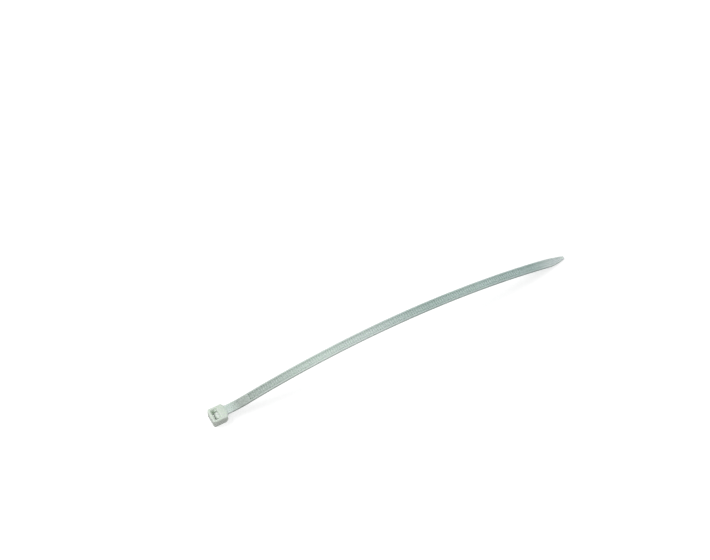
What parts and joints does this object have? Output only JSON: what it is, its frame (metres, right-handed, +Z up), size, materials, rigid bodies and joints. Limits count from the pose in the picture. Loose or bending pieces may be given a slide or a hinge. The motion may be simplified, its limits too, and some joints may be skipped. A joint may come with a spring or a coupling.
{
  "type": "cable tie",
  "caption": "Self-locking nylon cable tie in one piece: a flat toothed strap with a square ratchet head and a tapered tail, lying slightly bowed.",
  "frame": {"origin": "centre of the tail's passage through the head, on the surface that the tie lies on, which is the plane of the head's exit face", "axes": "+X along the strap from the head to the tip, +Z up, out of the mouth of the slot, on the side of the teeth, +Y across the strap"},
  "size_m": [0.1981, 0.0082, 0.0145],
  "materials": {
    "nylon": "natural nylon, milky and slightly green-grey, satin, a little light passes through it"
  },
  "bodies": {
    "root": {"cable_tie": "nylon"}
  },
  "joints": []
}
